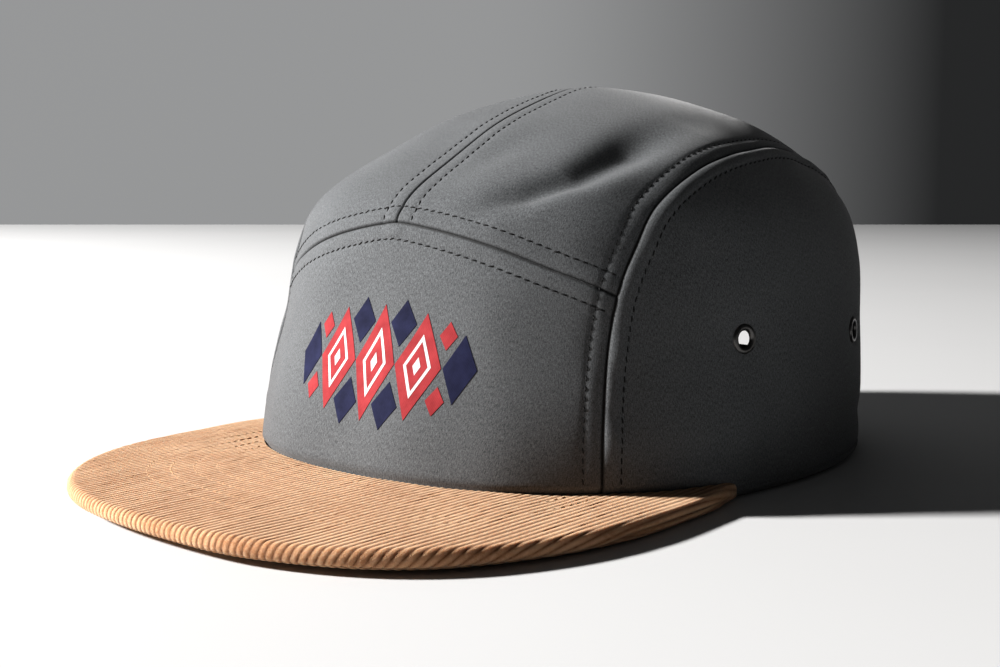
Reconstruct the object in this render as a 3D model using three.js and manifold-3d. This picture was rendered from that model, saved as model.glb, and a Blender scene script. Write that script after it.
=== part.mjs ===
// A five panel cap with a flat corduroy brim, lying on its rim.
// Millimetres. +Z is up, the brim points to -Y, and the wearer's left is at +X.
// A place on the crown is a pair of plan shares, across and back: the share of the way from the apex
// out to the rim, so that (0, 0) is the apex and every place on the rim lies 1 from it.

import * as THREE from 'three';
import { mergeVertices } from 'three/addons/utils/BufferGeometryUtils.js';
import Module from 'manifold-3d';

const wasm = await Module();
wasm.setup();

// Crown
const crownHalfWidth = 84.8;
const crownFrontReach = 103.4;
const crownBackReach = 87.2;
const crownHeight = 109;
const rimHeight = 1.3;
const frontSquareness = 2.31;
const backSquareness = 2.03;
const clothThickness = 1.6;
const seamGap = 0.3;
const seamRollWidth = 5;
const seamRollHeight = 0.8;
const bandCreaseHeight = 11;
const bandCreaseSpread = 4;
const bandCreaseDepth = 0.5;
const dentDepth = 3;
const dentSpread = 9;

// Back opening, strap and buckle
const openingWidth = 78;
const openingHeight = 46;
const openingStraight = 13;
const strapWidth = 19;
const strapThickness = 1.6;
const strapFoot = 3.4;
const strapLap = 11;
const buckleLength = 27;
const buckleBar = 3.4;
const buckleRail = 2.2;
const buckleThickness = 1.3;
const buckleOffset = 17;

// Sweatband
const sweatbandHeight = 30;
const sweatbandThickness = 1.2;

// Brim
const brimReach = 61;
const brimHalfWidth = 84.2;
const brimWidestBack = 31.1;
const brimTailReach = 69.3;
const brimSquareness = 2.47;
const brimThickness = 4.4;
const brimCamber = 1;
const brimLift = 0.9;
const brimTipWidth = 2.4;
const brimFoot = 0.1;

// Eyelets
const eyeletHoleRadius = 2.15;
const eyeletBarrelRadius = 2.6;
const eyeletFlangeRadius = 3.9;
const eyeletFlangeThickness = 0.8;
const eyeletSeat = 0.45;

// Crown sections from the rim to the apex in equal steps, as shares of the height and of the three reaches
const crownProfile = [
  { rise: 0, side: 1, front: 1, back: 1 },
  { rise: 0.15, side: 1.002, front: 0.96, back: 1.008 },
  { rise: 0.339, side: 0.992, front: 0.895, back: 1.02 },
  { rise: 0.526, side: 0.981, front: 0.841, back: 1.012 },
  { rise: 0.69, side: 0.904, front: 0.762, back: 0.925 },
  { rise: 0.845, side: 0.708, front: 0.49, back: 0.696 },
  { rise: 0.954, side: 0.378, front: 0.221, back: 0.36 },
  { rise: 1, side: 0, front: 0, back: 0 },
];

// Seam of a side panel from the front rim over the top to the back rim
const sideSeam = [
  { across: 0.633, back: -0.774 },
  { across: 0.543, back: -0.662 },
  { across: 0.466, back: -0.552 },
  { across: 0.41, back: -0.457 },
  { across: 0.371, back: -0.37 },
  { across: 0.336, back: -0.29 },
  { across: 0.321, back: -0.188 },
  { across: 0.316, back: -0.069 },
  { across: 0.311, back: 0.03 },
  { across: 0.314, back: 0.17 },
  { across: 0.327, back: 0.33 },
  { across: 0.36, back: 0.49 },
  { across: 0.42, back: 0.615 },
  { across: 0.49, back: 0.71 },
  { across: 0.581, back: 0.814 },
];
const seamJunctionRow = 3;
const seamShoulderRow = 11;

// Half of the arched front seam, from the centre to the side seam
const frontSeam = [
  { across: 0, back: -0.479 },
  { across: 0.1, back: -0.487 },
  { across: 0.2, back: -0.489 },
  { across: 0.3, back: -0.482 },
  { across: 0.41, back: -0.457 },
];

// Soft folds of the top panels: a stroke over the crown, its depth a share of dentDepth (below 0 it
// stands proud) and its half width a share of dentSpread
const dents = [
  [
    { across: 0.12, back: -0.43, depth: 0.15, spread: 0.6 },
    { across: 0.205, back: -0.37, depth: 0.8, spread: 0.75 },
    { across: 0.252, back: -0.28, depth: 1, spread: 1 },
    { across: 0.268, back: -0.17, depth: 0.9, spread: 1.3 },
    { across: 0.25, back: -0.03, depth: 0.2, spread: 1.6 },
  ],
  [
    { across: 0.1, back: -0.34, depth: -0.1, spread: 1 },
    { across: 0.15, back: -0.23, depth: -0.35, spread: 1.4 },
    { across: 0.16, back: -0.1, depth: -0.1, spread: 1.6 },
  ],
  [
    { across: -0.2, back: -0.3, depth: 0.1, spread: 1 },
    { across: -0.24, back: -0.1, depth: 0.4, spread: 1.7 },
    { across: -0.22, back: 0.12, depth: 0.1, spread: 1.4 },
  ],
];

// Eyelets of a side panel
const eyelets = [
  { name: 'front', across: 0.63, back: -0.295 },
  { name: 'rear', across: 0.691, back: 0.17 },
];

// Facets
const seamSteps = 10;
const topSteps = 8;
const shoulderSteps = 22;
const rimSteps = 56;
const strapSteps = 18;
const brimSteps = 42;
const brimRows = 4;
const brimRoundSteps = 2;
const roundSteps = 14;

// Materials
const canvas = new THREE.MeshStandardMaterial({ color: 0x55565a, roughness: 0.95, metalness: 0 });
const corduroy = new THREE.MeshStandardMaterial({ color: 0xbd8a58, roughness: 0.9, metalness: 0 });
const lining = new THREE.MeshStandardMaterial({ color: 0x77777a, roughness: 0.95, metalness: 0 });
const webbing = new THREE.MeshStandardMaterial({ color: 0x3b3b3e, roughness: 0.9, metalness: 0 });
const metal = new THREE.MeshStandardMaterial({ color: 0x4c4d50, roughness: 0.35, metalness: 1 });

const group = new THREE.Group();

function addPiece(name, geometry, material) {
  const mesh = new THREE.Mesh(geometry, material);
  mesh.name = name;
  group.add(mesh);
  return mesh;
}

// Closed bodies
function signedVolume(geometry) {
  const position = geometry.getAttribute('position');
  const index = geometry.getIndex();
  const a = new THREE.Vector3();
  const b = new THREE.Vector3();
  const c = new THREE.Vector3();
  let volume = 0;
  for (let i = 0; i < index.count; i += 3) {
    a.fromBufferAttribute(position, index.getX(i));
    b.fromBufferAttribute(position, index.getX(i + 1));
    c.fromBufferAttribute(position, index.getX(i + 2));
    volume += a.dot(b.cross(c)) / 6;
  }
  return volume;
}

function closedBody(geometry) {
  geometry.deleteAttribute('normal');
  geometry.deleteAttribute('uv');
  const merged = mergeVertices(geometry, 1e-4);
  const index = merged.getIndex();
  const kept = [];
  for (let i = 0; i < index.count; i += 3) {
    const corners = [index.getX(i), index.getX(i + 1), index.getX(i + 2)];
    if (new Set(corners).size === 3) kept.push(...corners);
  }
  merged.setIndex(kept);
  if (signedVolume(merged) < 0) {
    for (let i = 0; i < kept.length; i += 3) {
      [kept[i], kept[i + 1]] = [kept[i + 1], kept[i]];
    }
    merged.setIndex(kept);
  }
  merged.computeVertexNormals();
  return merged;
}

function toSolid(geometry) {
  return new wasm.Manifold(new wasm.Mesh({
    numProp: 3,
    vertProperties: new Float32Array(geometry.getAttribute('position').array),
    triVerts: new Uint32Array(geometry.getIndex().array),
  }));
}

function cutFrom(geometry, cutters) {
  let solid = toSolid(geometry);
  for (const cutter of cutters) {
    solid = solid.subtract(toSolid(closedBody(cutter)));
  }
  const mesh = solid.getMesh();
  const cut = new THREE.BufferGeometry();
  cut.setAttribute('position', new THREE.BufferAttribute(mesh.vertProperties, 3));
  cut.setIndex(new THREE.BufferAttribute(mesh.triVerts, 1));
  return closedBody(cut);
}

// A body between two grids of points that have the same rows and columns
function closedSheet(front, back) {
  const rows = front.length;
  const columns = front[0].length;
  const positions = [];
  for (const grid of [front, back]) {
    for (const row of grid) {
      for (const point of row) positions.push(point.x, point.y, point.z);
    }
  }
  const index = [];
  const at = (side, i, j) => (side * rows + i) * columns + j;
  const quad = (a, b, c, d) => index.push(a, b, c, a, c, d);
  for (let i = 0; i + 1 < rows; i += 1) {
    for (let j = 0; j + 1 < columns; j += 1) {
      quad(at(0, i, j), at(0, i + 1, j), at(0, i + 1, j + 1), at(0, i, j + 1));
      quad(at(1, i, j), at(1, i, j + 1), at(1, i + 1, j + 1), at(1, i + 1, j));
    }
  }
  for (let i = 0; i + 1 < rows; i += 1) {
    quad(at(0, i, 0), at(1, i, 0), at(1, i + 1, 0), at(0, i + 1, 0));
    quad(at(0, i, columns - 1), at(0, i + 1, columns - 1), at(1, i + 1, columns - 1), at(1, i, columns - 1));
  }
  for (let j = 0; j + 1 < columns; j += 1) {
    quad(at(0, 0, j), at(0, 0, j + 1), at(1, 0, j + 1), at(1, 0, j));
    quad(at(0, rows - 1, j), at(1, rows - 1, j), at(1, rows - 1, j + 1), at(0, rows - 1, j + 1));
  }
  const geometry = new THREE.BufferGeometry();
  geometry.setAttribute('position', new THREE.Float32BufferAttribute(positions, 3));
  geometry.setIndex(index);
  return closedBody(geometry);
}

// Crown surface
function profileAt(column, parity, share) {
  const last = crownProfile.length - 1;
  const value = (row) => {
    if (row < 0) return 2 * crownProfile[0][column] - crownProfile[1][column];
    if (row > last) return parity * crownProfile[2 * last - row][column];
    return crownProfile[row][column];
  };
  const place = share * last;
  const row = THREE.MathUtils.clamp(Math.floor(place), 0, last - 1);
  const w = place - row;
  const [p0, p1, p2, p3] = [value(row - 1), value(row), value(row + 1), value(row + 2)];
  const slope = (p2 - p0) * w;
  const bend = (2 * p0 - 5 * p1 + 4 * p2 - p3) * w * w;
  return (2 * p1 + slope + bend + (3 * p1 - p0 - 3 * p2 + p3) * w * w * w) / 2;
}

const riseAt = (share) => rimHeight + crownHeight * profileAt('rise', 1, share);

function outlinePoint(share, turn) {
  const across = Math.sin(turn);
  const back = -Math.cos(turn);
  const side = Math.max(crownHalfWidth * profileAt('side', -1, share), 1e-6);
  const [column, reach, squareness] = back < 0
    ? ['front', crownFrontReach, frontSquareness]
    : ['back', crownBackReach, backSquareness];
  const along = Math.max(reach * profileAt(column, -1, share), 1e-6);
  const sum = Math.abs(across / side) ** squareness + Math.abs(back / along) ** squareness;
  const radius = sum ** (-1 / squareness);
  return new THREE.Vector3(radius * across, radius * back, riseAt(share));
}

function crownPoint(across, back) {
  return outlinePoint(1 - Math.hypot(across, back), Math.atan2(across, -back));
}

function crownNormal(across, back) {
  const step = 1e-3;
  const alongAcross = crownPoint(across + step, back).sub(crownPoint(across - step, back));
  const alongBack = crownPoint(across, back + step).sub(crownPoint(across, back - step));
  return alongAcross.cross(alongBack).normalize();
}

function shareAtHeight(height) {
  let low = -0.05;
  let high = 0.9;
  for (let i = 0; i < 40; i += 1) {
    const middle = (low + high) / 2;
    if (riseAt(middle) < height) low = middle;
    else high = middle;
  }
  return (low + high) / 2;
}

// A point level with a place on the wall of the crown, inset from its outer face
function wallPoint(turn, height, inset) {
  const share = shareAtHeight(height);
  const point = outlinePoint(share, turn);
  const ahead = outlinePoint(share, turn + 1e-3).sub(outlinePoint(share, turn - 1e-3)).normalize();
  const outward = new THREE.Vector3(ahead.y, -ahead.x, 0);
  if (outward.dot(point) < 0) outward.negate();
  return point.addScaledVector(outward, -inset);
}

// The turn at which the back of the crown lies a length across
function backTurn(across, height) {
  let low = Math.PI / 2;
  let high = Math.PI;
  for (let i = 0; i < 40; i += 1) {
    const middle = (low + high) / 2;
    if (wallPoint(middle, height, 0).x > Math.abs(across)) low = middle;
    else high = middle;
  }
  const turn = (low + high) / 2;
  return across < 0 ? 2 * Math.PI - turn : turn;
}

// Samples of a curve that lie evenly along it, as spotOf places them in space
function evenSamples(at, from, to, steps, spotOf = (sample) => sample) {
  const fine = 20 * steps;
  const samples = [];
  const lengths = [0];
  for (let i = 0; i <= fine; i += 1) {
    samples.push(at(THREE.MathUtils.lerp(from, to, i / fine)));
    if (i > 0) lengths.push(lengths[i - 1] + spotOf(samples[i]).distanceTo(spotOf(samples[i - 1])));
  }
  const even = [];
  let i = 1;
  for (let k = 0; k <= steps; k += 1) {
    const wanted = (lengths[fine] * k) / steps;
    while (i < fine && lengths[i] < wanted) i += 1;
    const w = (wanted - lengths[i - 1]) / (lengths[i] - lengths[i - 1]);
    even.push(samples[i - 1].clone().lerp(samples[i], w));
  }
  return even;
}

// Seams and folds as lines on the crown
function seamPlaces(rows, fromRow, toRow, steps) {
  const curve = new THREE.SplineCurve(rows.map((row) => new THREE.Vector2(row.across, row.back)));
  const at = (row) => curve.getPoint(row / (rows.length - 1));
  return evenSamples(at, fromRow, toRow, steps, (place) => crownPoint(place.x, place.y));
}

function rimPlaces(from, to, steps) {
  const start = Math.atan2(from.x, -from.y);
  const end = Math.atan2(to.x, -to.y);
  const places = [];
  for (let i = 0; i <= steps; i += 1) {
    const turn = start + ((end - start) * i) / steps;
    places.push(new THREE.Vector2(Math.sin(turn), -Math.cos(turn)));
  }
  return places;
}

function nearestOn(path, point) {
  const line = new THREE.Line3();
  const foot = new THREE.Vector3();
  let best = { distance: Infinity, row: 0, w: 0 };
  for (let row = 0; row + 1 < path.length; row += 1) {
    line.set(path[row], path[row + 1]);
    const w = line.closestPointToPointParameter(point, true);
    const distance = line.at(w, foot).distanceTo(point);
    if (distance < best.distance) best = { distance, row, w };
  }
  return best;
}

const dentPaths = dents.map((rows) => rows.map((row) => crownPoint(row.across, row.back)));

function dentLift(point) {
  return dents.reduce((lift, rows, k) => {
    const { distance, row, w } = nearestOn(dentPaths[k], point);
    const depth = THREE.MathUtils.lerp(rows[row].depth, rows[row + 1].depth, w) * dentDepth;
    const spread = THREE.MathUtils.lerp(rows[row].spread, rows[row + 1].spread, w) * dentSpread;
    return lift - depth * Math.exp(-((distance / spread) ** 2));
  }, 0);
}

// Shared seam stations, so that neighbouring panels have the same points along their seam
const lastSeamRow = sideSeam.length - 1;
const seamRise = seamPlaces(sideSeam, 0, seamJunctionRow, seamSteps);
const seamTop = seamPlaces(sideSeam, seamJunctionRow, seamShoulderRow, shoulderSteps);
const seamFall = seamPlaces(sideSeam, seamShoulderRow, lastSeamRow, seamSteps);
const frontHalf = seamPlaces(frontSeam, 0, frontSeam.length - 1, topSteps);
seamRise[0].normalize();
seamFall[seamSteps].normalize();
frontHalf[topSteps].copy(seamRise[seamSteps]);

const mirrored = (places) => places.map((place) => new THREE.Vector2(-place.x, place.y));
const sideSeamPath = [...seamRise, ...seamTop.slice(1), ...seamFall.slice(1)]
  .map((place) => crownPoint(place.x, place.y));

// Grid of places between four edges, foot and head running one way and left and right the other
function blendedGrid(foot, head, left, right) {
  const columns = foot.length - 1;
  const rows = left.length - 1;
  const grid = [];
  for (let j = 0; j <= rows; j += 1) {
    const v = j / rows;
    const row = [];
    for (let i = 0; i <= columns; i += 1) {
      const u = i / columns;
      const place = new THREE.Vector2()
        .addScaledVector(foot[i], 1 - v)
        .addScaledVector(head[i], v)
        .addScaledVector(left[j], 1 - u)
        .addScaledVector(right[j], u)
        .addScaledVector(foot[0], -(1 - u) * (1 - v))
        .addScaledVector(foot[columns], -u * (1 - v))
        .addScaledVector(head[0], -(1 - u) * v)
        .addScaledVector(head[columns], -u * v);
      row.push(place);
    }
    grid.push(row);
  }
  return grid;
}

const transposed = (grid) => grid[0].map((_, i) => grid.map((row) => row[i]));

// Adds a line of places beside the last row, a given length in from it
function withEdgeLine(grid, length) {
  const edge = grid[grid.length - 1];
  const inner = grid[grid.length - 2];
  const line = edge.map((place, i) => {
    const span = crownPoint(place.x, place.y).distanceTo(crownPoint(inner[i].x, inner[i].y));
    return place.clone().lerp(inner[i], Math.min(length / span, 0.8));
  });
  return [...grid.slice(0, -1), line, edge];
}

// How far a grid point moves in from the seams that it lies on
function seamShift(points, normals, i, j) {
  const rows = points.length - 1;
  const columns = points[0].length - 1;
  const shift = new THREE.Vector3();
  const addEdge = (before, after, inside) => {
    const side = after.clone().sub(before).cross(normals[i][j]).normalize();
    if (side.dot(inside.clone().sub(points[i][j])) < 0) side.negate();
    shift.addScaledVector(side, seamGap / 2);
  };
  if (i === 0 || i === rows) {
    const row = points[i];
    addEdge(row[Math.max(j - 1, 0)], row[Math.min(j + 1, columns)], points[i === 0 ? 1 : rows - 1][j]);
  }
  if (j === 0 || j === columns) {
    const before = points[Math.max(i - 1, 0)][j];
    const after = points[Math.min(i + 1, rows)][j];
    addEdge(before, after, points[i][j === 0 ? 1 : columns - 1]);
  }
  return shift;
}

function panel(grid, outerLift) {
  const points = grid.map((row) => row.map((place) => crownPoint(place.x, place.y)));
  const normals = grid.map((row) => row.map((place) => crownNormal(place.x, place.y)));
  const face = (lift) => points.map((row, i) => row.map((point, j) => point.clone()
    .addScaledVector(normals[i][j], dentLift(point) + lift(point))
    .add(seamShift(points, normals, i, j))));
  return closedSheet(face(outerLift), face(() => -clothThickness));
}

// Front panel
const frontFoot = rimPlaces(mirrored(seamRise)[0], seamRise[0], 2 * topSteps);
const frontHead = [...mirrored(frontHalf).reverse(), ...frontHalf.slice(1)];
const frontGrid = blendedGrid(frontFoot, frontHead, mirrored(seamRise), seamRise);
addPiece('front_panel', panel(frontGrid, () => 0), canvas);

// Top panels, with the arched opening cut out of their lower back corners
function archCutter() {
  const half = openingWidth / 2;
  const foot = rimHeight - openingHeight;
  const spring = rimHeight + openingStraight;
  const arch = new THREE.Shape();
  arch.moveTo(-half, foot);
  arch.lineTo(half, foot);
  arch.lineTo(half, spring);
  arch.absellipse(0, spring, half, openingHeight - openingStraight, 0, Math.PI, false, 0);
  arch.closePath();
  const cutter = new THREE.ExtrudeGeometry(arch, {
    depth: crownBackReach,
    bevelEnabled: false,
    curveSegments: roundSteps,
  });
  cutter.rotateX(Math.PI / 2);
  cutter.translate(0, 1.5 * crownBackReach, 0);
  return cutter;
}

const centreLine = seamPlaces(
  [{ across: 0, back: frontSeam[0].back }, { across: 0, back: 0 }, { across: 0, back: 1 }],
  0,
  2,
  shoulderSteps + seamSteps,
);
const topEdge = [...seamTop, ...seamFall.slice(1)];
const backFoot = rimPlaces(new THREE.Vector2(0, 1), seamFall[seamSteps], topSteps);
const topGrid = blendedGrid(frontHalf, backFoot, centreLine, topEdge);

const flipped = (grid) => grid.map((row) => mirrored(row));
for (const [side, grid] of [['left', topGrid], ['right', flipped(topGrid)]]) {
  addPiece(`top_panel_${side}`, cutFrom(panel(grid, () => 0), [archCutter()]), canvas);
}

// Side panels, with a proud edge along the seam that runs out above the brim, and a soft crease above the rim
const brimTop = brimFoot + brimThickness + brimCamber + brimLift;

function sideLift(point) {
  const { distance } = nearestOn(sideSeamPath, new THREE.Vector3(Math.abs(point.x), point.y, point.z));
  const beside = 1 - THREE.MathUtils.smoothstep(distance, seamRollWidth / 2, seamRollWidth * 1.5);
  const roll = beside * THREE.MathUtils.smoothstep(point.z, brimTop, brimTop + 2 * seamRollWidth);
  const crease = Math.exp(-(((point.z - rimHeight - bandCreaseHeight) / bandCreaseSpread) ** 2));
  return seamRollHeight * roll - bandCreaseDepth * crease * (1 - roll);
}

function eyeletHole(place, mirror) {
  const hole = new THREE.CylinderGeometry(
    eyeletBarrelRadius + seamGap,
    eyeletBarrelRadius + seamGap,
    8 * clothThickness,
    roundSteps,
  );
  const normal = crownNormal(mirror * place.across, place.back);
  hole.applyQuaternion(new THREE.Quaternion().setFromUnitVectors(new THREE.Vector3(0, 1, 0), normal));
  const point = crownPoint(mirror * place.across, place.back);
  hole.translate(point.x, point.y, point.z);
  return hole;
}

const reversed = (grid) => [...grid].reverse();
const sideFoot = rimPlaces(seamRise[0], seamFall[seamSteps], shoulderSteps);
const sideColumns = transposed(withEdgeLine(
  blendedGrid(sideFoot, seamTop, seamRise, [...seamFall].reverse()),
  seamRollWidth,
));
const sideGrid = reversed(withEdgeLine(reversed(withEdgeLine(sideColumns, seamRollWidth)), seamRollWidth));

for (const [side, mirror, grid] of [['left', 1, sideGrid], ['right', -1, flipped(sideGrid)]]) {
  const holes = eyelets.map((place) => eyeletHole(place, mirror));
  addPiece(`side_panel_${side}`, cutFrom(panel(grid, sideLift), holes), canvas);
}

// Eyelets, each one turned ring with a flange on both faces of the cloth
function eyeletRing() {
  const lining = -clothThickness - eyeletSeat;
  const round = eyeletFlangeThickness / 2;
  const profile = [
    [eyeletHoleRadius, lining - eyeletFlangeThickness],
    [eyeletFlangeRadius - round, lining - eyeletFlangeThickness],
    [eyeletFlangeRadius - round, lining],
    [eyeletBarrelRadius, lining],
    [eyeletBarrelRadius, eyeletSeat],
    [eyeletFlangeRadius, eyeletSeat],
    [eyeletFlangeRadius - round, eyeletSeat + eyeletFlangeThickness],
    [eyeletHoleRadius + round, eyeletSeat + eyeletFlangeThickness],
    [eyeletHoleRadius, eyeletSeat + round],
  ];
  const points = [...profile, profile[0]].map(([radius, height]) => new THREE.Vector2(radius, height));
  return closedBody(new THREE.LatheGeometry(points, roundSteps));
}

for (const [side, mirror] of [['left', 1], ['right', -1]]) {
  for (const place of eyelets) {
    const ring = addPiece(`eyelet_${side}_${place.name}`, eyeletRing(), metal);
    const normal = crownNormal(mirror * place.across, place.back);
    ring.position.copy(crownPoint(mirror * place.across, place.back));
    ring.quaternion.setFromUnitVectors(new THREE.Vector3(0, 1, 0), normal);
  }
}

// Sweatband, ending where the strap's ends begin
const liningInset = clothThickness + 1.5 * seamGap;

function band(fromTurn, toTurn, steps, heights, thickness) {
  const face = (inset) => heights.map((height) => {
    const row = [];
    for (let k = 0; k <= steps; k += 1) {
      row.push(wallPoint(THREE.MathUtils.lerp(fromTurn, toTurn, k / steps), height, inset));
    }
    return row;
  });
  return closedSheet(face(liningInset), face(liningInset + thickness));
}

const strapHalf = openingWidth / 2 + strapLap;
const strapMiddle = strapFoot + strapWidth / 2;
const bandTurn = backTurn(strapHalf + 2 * seamGap, strapMiddle);
const bandHeights = [0, sweatbandHeight / 2, sweatbandHeight];
addPiece('sweatband', band(-bandTurn, bandTurn, rimSteps, bandHeights, sweatbandThickness), lining);

// Strap across the opening, its ends lying against the lining side of the top panels
const strapTurn = backTurn(strapHalf, strapMiddle);
const strapHeights = [strapFoot, strapFoot + strapWidth];
const strap = band(strapTurn, 2 * Math.PI - strapTurn, strapSteps, strapHeights, strapThickness);
addPiece('rear_strap', strap, webbing);

// Buckle, a slide with two bars before the strap and one behind it, between an upper and a lower rail
function latticeBody(turns, heights, insets, filled) {
  const corners = turns.map((turn) => heights.map((height) => insets.map((inset) => (
    wallPoint(turn, height, inset)))));
  const positions = [];
  const isFilled = (cell) => cell.every((place, axis) => (
    place >= 0 && place < [turns, heights, insets][axis].length - 1)) && filled(...cell);
  const addFace = (cell, axis, side) => {
    const [u, v] = [(axis + 1) % 3, (axis + 2) % 3];
    const loop = [[0, 0], [1, 0], [1, 1], [0, 1]];
    const points = (side > 0 ? loop : loop.reverse()).map(([du, dv]) => {
      const corner = [...cell];
      corner[axis] += side > 0 ? 1 : 0;
      corner[u] += du;
      corner[v] += dv;
      return corners[corner[0]][corner[1]][corner[2]];
    });
    for (const k of [0, 1, 2, 0, 2, 3]) positions.push(points[k].x, points[k].y, points[k].z);
  };
  for (let i = 0; i + 1 < turns.length; i += 1) {
    for (let j = 0; j + 1 < heights.length; j += 1) {
      for (let k = 0; k + 1 < insets.length; k += 1) {
        const cell = [i, j, k];
        for (let axis = 0; axis < 3 && isFilled(cell); axis += 1) {
          for (const side of [-1, 1]) {
            const next = [...cell];
            next[axis] += side;
            if (!isFilled(next)) addFace(cell, axis, side);
          }
        }
      }
    }
  }
  const geometry = new THREE.BufferGeometry();
  geometry.setAttribute('position', new THREE.Float32BufferAttribute(positions, 3));
  return closedBody(geometry);
}

function strapBuckle() {
  const end = buckleLength / 2;
  const turns = [-end, buckleBar - end, -buckleBar / 2, buckleBar / 2, end - buckleBar, end]
    .map((across) => backTurn(-buckleOffset - across, strapMiddle));
  const low = strapFoot - seamGap;
  const high = strapFoot + strapWidth + seamGap;
  const heights = [low - buckleRail, low, high, high + buckleRail];
  const before = liningInset - seamGap;
  const behind = liningInset + strapThickness + seamGap;
  const insets = [before - buckleThickness, before, behind, behind + buckleThickness];
  return latticeBody(turns, heights, insets, (i, j, k) => {
    if (j !== 1) return true;
    return i === 2 ? k === 2 : i % 4 === 0 && k === 0;
  });
}

addPiece('strap_buckle', strapBuckle(), metal);

// Brim, two covers that meet half way up its rounded edge
const brimWidestY = brimWidestBack - crownFrontReach;
const brimRound = brimThickness / 2;

function brimOutline(angle) {
  const across = Math.sin(angle);
  const ahead = Math.cos(angle);
  const reach = ahead > 0 ? brimReach + brimWidestBack : brimTailReach;
  const sum = Math.abs(across / brimHalfWidth) ** brimSquareness + Math.abs(ahead / reach) ** brimSquareness;
  const radius = sum ** (-1 / brimSquareness);
  return new THREE.Vector3(radius * across, brimWidestY - radius * ahead, 0);
}

const turnOf = (point) => Math.atan2(point.x, -point.y);
const besideCrown = (turn, height) => wallPoint(turn, height, -seamGap);

function brimTipAngle() {
  let low = Math.PI / 2;
  let high = Math.PI;
  for (let i = 0; i < 40; i += 1) {
    const middle = (low + high) / 2;
    const edge = brimOutline(middle);
    const crown = besideCrown(turnOf(edge), brimThickness);
    if (edge.length() - Math.hypot(crown.x, crown.y) > brimTipWidth) low = middle;
    else high = middle;
  }
  return low;
}

const tipAngle = brimTipAngle();
const tip = brimOutline(tipAngle);

function brimMiddle(x, y) {
  const camber = brimCamber * (1 - (x / brimHalfWidth) ** 2);
  const lift = (brimLift * (tip.y - y)) / (tip.y + crownFrontReach + brimReach);
  return brimFoot + brimRound + camber + lift;
}

const outerStations = evenSamples(brimOutline, -tipAngle, tipAngle, brimSteps);
const crownEdge = (turn) => besideCrown(turn, brimThickness);
const innerStations = evenSamples(crownEdge, -turnOf(tip), turnOf(tip), brimSteps);

function brimCover(upward) {
  const face = (riseOf) => outerStations.map((outer, k) => {
    const inner = innerStations[k];
    const span = Math.hypot(outer.x - inner.x, outer.y - inner.y);
    const place = (fromEdge, rise) => {
      const w = fromEdge / span;
      const x = THREE.MathUtils.lerp(outer.x, inner.x, w);
      const y = THREE.MathUtils.lerp(outer.y, inner.y, w);
      const height = brimMiddle(x, y) + upward * rise;
      return w < 1 ? new THREE.Vector3(x, y, height) : besideCrown(turnOf(inner), height);
    };
    const row = [];
    for (let j = 0; j < brimRows; j += 1) {
      row.push(place(THREE.MathUtils.lerp(span, brimRound, j / brimRows), riseOf(Math.PI / 2)));
    }
    for (let j = 0; j <= brimRoundSteps; j += 1) {
      const angle = (Math.PI / 2) * (1 - j / brimRoundSteps);
      row.push(place(brimRound * (1 - Math.cos(angle)), riseOf(angle)));
    }
    return row;
  });
  const shown = face((angle) => Math.max(brimRound * Math.sin(angle), seamGap / 2));
  return closedSheet(shown, face(() => seamGap / 2));
}

addPiece('brim_top_cover', brimCover(1), corduroy);
addPiece('brim_under_cover', brimCover(-1), corduroy);

// The origin lies under the middle of the cap's box
const extent = new THREE.Box3().setFromObject(group, true);
group.position.y = -(extent.min.y + extent.max.y) / 2;

export default group;
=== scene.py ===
"""A five panel cap with a flat corduroy brim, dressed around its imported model."""
import math

import bmesh
import bpy
import numpy as np
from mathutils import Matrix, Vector


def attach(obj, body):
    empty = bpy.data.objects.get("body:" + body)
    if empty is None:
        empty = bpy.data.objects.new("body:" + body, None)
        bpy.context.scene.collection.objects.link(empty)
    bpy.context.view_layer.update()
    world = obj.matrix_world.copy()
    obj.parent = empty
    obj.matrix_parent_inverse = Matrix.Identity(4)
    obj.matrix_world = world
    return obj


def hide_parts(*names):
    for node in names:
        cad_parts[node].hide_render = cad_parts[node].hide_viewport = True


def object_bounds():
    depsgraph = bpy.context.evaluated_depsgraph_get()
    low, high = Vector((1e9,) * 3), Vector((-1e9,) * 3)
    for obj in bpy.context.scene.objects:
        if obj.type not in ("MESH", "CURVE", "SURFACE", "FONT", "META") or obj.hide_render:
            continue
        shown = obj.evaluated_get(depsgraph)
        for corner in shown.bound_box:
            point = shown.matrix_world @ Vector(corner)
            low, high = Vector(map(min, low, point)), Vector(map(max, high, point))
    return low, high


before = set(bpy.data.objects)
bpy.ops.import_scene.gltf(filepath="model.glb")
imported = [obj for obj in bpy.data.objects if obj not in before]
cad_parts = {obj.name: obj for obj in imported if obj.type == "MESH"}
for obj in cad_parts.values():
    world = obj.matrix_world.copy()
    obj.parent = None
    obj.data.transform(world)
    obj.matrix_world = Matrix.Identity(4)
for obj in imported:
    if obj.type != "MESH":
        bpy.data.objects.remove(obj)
cad_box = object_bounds()
rng = np.random.default_rng(58)

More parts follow.
